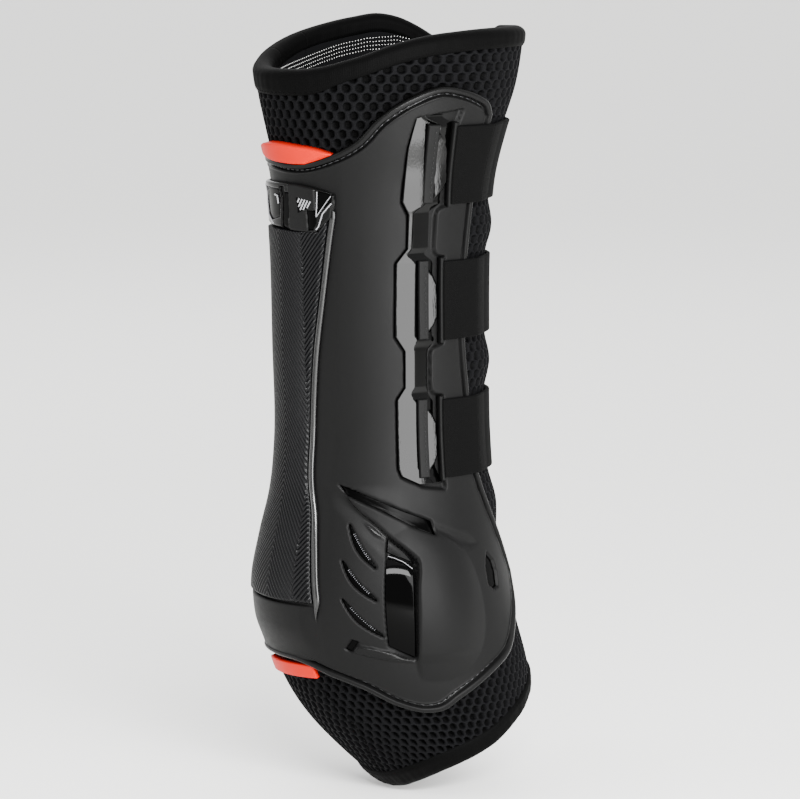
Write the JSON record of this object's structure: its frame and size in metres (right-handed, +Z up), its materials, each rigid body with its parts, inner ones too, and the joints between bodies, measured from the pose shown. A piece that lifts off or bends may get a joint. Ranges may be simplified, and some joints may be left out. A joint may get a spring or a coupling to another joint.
{
  "type": "tendon boot",
  "caption": "Closed tendon boot for a horse's foreleg: moulded shell with a ribbed strike strip, padded mesh liner and elastic hook-and-loop straps.",
  "frame": {"origin": "on the leg's axis, level with the centre of the middle strap", "axes": "+X towards the front of the leg, -Y towards the inner side with the strap anchors, +Z up the leg"},
  "size_m": [0.1115, 0.0938, 0.2974],
  "materials": {
    "shell_tpu": "smooth matte thermoplastic polyurethane",
    "gloss_tpu": "polished black thermoplastic polyurethane",
    "ribbed_strip": "matte rubber with fine slanting ribs",
    "spacer_mesh": "open hexagonal spacer mesh",
    "lining": "padded jersey lining with thin white dotted stripes",
    "binding": "smooth stretch binding tape",
    "elastic_webbing": "woven elastic webbing",
    "hook_and_loop": "hook and loop fastener tape",
    "orange_badge": "satin moulded orange plastic"
  },
  "bodies": {
    "inner_half": {"far_strip_trim": "gloss_tpu", "heel_cap": "shell_tpu", "lower_anchor_bar": "shell_tpu", "lower_tag": "orange_badge", "middle_anchor_bar": "shell_tpu", "near_bottom_binding": "binding", "near_front_binding": "binding", "near_lining": "lining", "near_mesh": "spacer_mesh", "near_shell": "shell_tpu", "near_strip_trim": "gloss_tpu", "near_top_binding": "binding", "strap_plate": "gloss_tpu", "strike_strip": "ribbed_strip", "strip_clasp": "gloss_tpu", "top_badge": "orange_badge", "upper_anchor_bar": "shell_tpu", "vent_window": "gloss_tpu"},
    "outer_half": {"far_bottom_binding": "binding", "far_front_binding": "binding", "far_lining": "lining", "far_mesh": "spacer_mesh", "far_shell": "shell_tpu", "far_top_binding": "binding", "lower_loop_patch": "hook_and_loop", "middle_loop_patch": "hook_and_loop", "upper_loop_patch": "hook_and_loop"},
    "upper_strap": {"upper_strap": "elastic_webbing"},
    "upper_strap_tail": {"upper_strap_end": "elastic_webbing", "upper_hook_pad": "hook_and_loop", "upper_pull_tab": "shell_tpu"},
    "middle_strap": {"middle_strap": "elastic_webbing"},
    "middle_strap_tail": {"middle_strap_end": "elastic_webbing", "middle_hook_pad": "hook_and_loop", "middle_pull_tab": "shell_tpu"},
    "lower_strap": {"lower_strap": "elastic_webbing"},
    "lower_strap_tail": {"lower_strap_end": "elastic_webbing", "lower_hook_pad": "hook_and_loop", "lower_pull_tab": "shell_tpu"}
  },
  "joints": [
    {"name": "opening", "type": "hinge", "parent": "inner_half", "child": "outer_half", "pos_m": [-0.0355, 0.0355, 0], "axis": [0, 0, 1], "range_deg": [0, 42], "stiffness_Nm_per_rad": 0.25},
    {"name": "upper_strap_swing", "type": "hinge", "parent": "inner_half", "child": "upper_strap", "pos_m": [0.01237, -0.03996, 0.04961], "axis": [0, 0, 1], "range_deg": [-100, 0]},
    {"name": "upper_strap_peel", "type": "hinge", "parent": "upper_strap", "child": "upper_strap_tail", "pos_m": [0.04127, -0.01962, 0.04993], "axis": [0.2006, -0.0747, 0.9768], "range_deg": [-112, 0]},
    {"name": "middle_strap_swing", "type": "hinge", "parent": "inner_half", "child": "middle_strap", "pos_m": [0.01018, -0.03766, -0.00097], "axis": [0, 0, 1], "range_deg": [-100, 0]},
    {"name": "middle_strap_peel", "type": "hinge", "parent": "middle_strap", "child": "middle_strap_tail", "pos_m": [0.03799, -0.01835, -0.001], "axis": [0.0056, 0.002, 1], "range_deg": [-112, 0]},
    {"name": "lower_strap_swing", "type": "hinge", "parent": "inner_half", "child": "lower_strap", "pos_m": [0.00949, -0.03872, -0.05323], "axis": [0, 0, 1], "range_deg": [-100, 0]},
    {"name": "lower_strap_peel", "type": "hinge", "parent": "lower_strap", "child": "lower_strap_tail", "pos_m": [0.03828, -0.01881, -0.05339], "axis": [-0.0349, 0.0264, 0.999], "range_deg": [-112, 0]}
  ],
  "couplings": [
    {"joint": "upper_strap_peel", "follows": "opening", "ratio": -2.6},
    {"joint": "middle_strap_peel", "follows": "opening", "ratio": -2.6},
    {"joint": "lower_strap_peel", "follows": "opening", "ratio": -2.6}
  ]
}
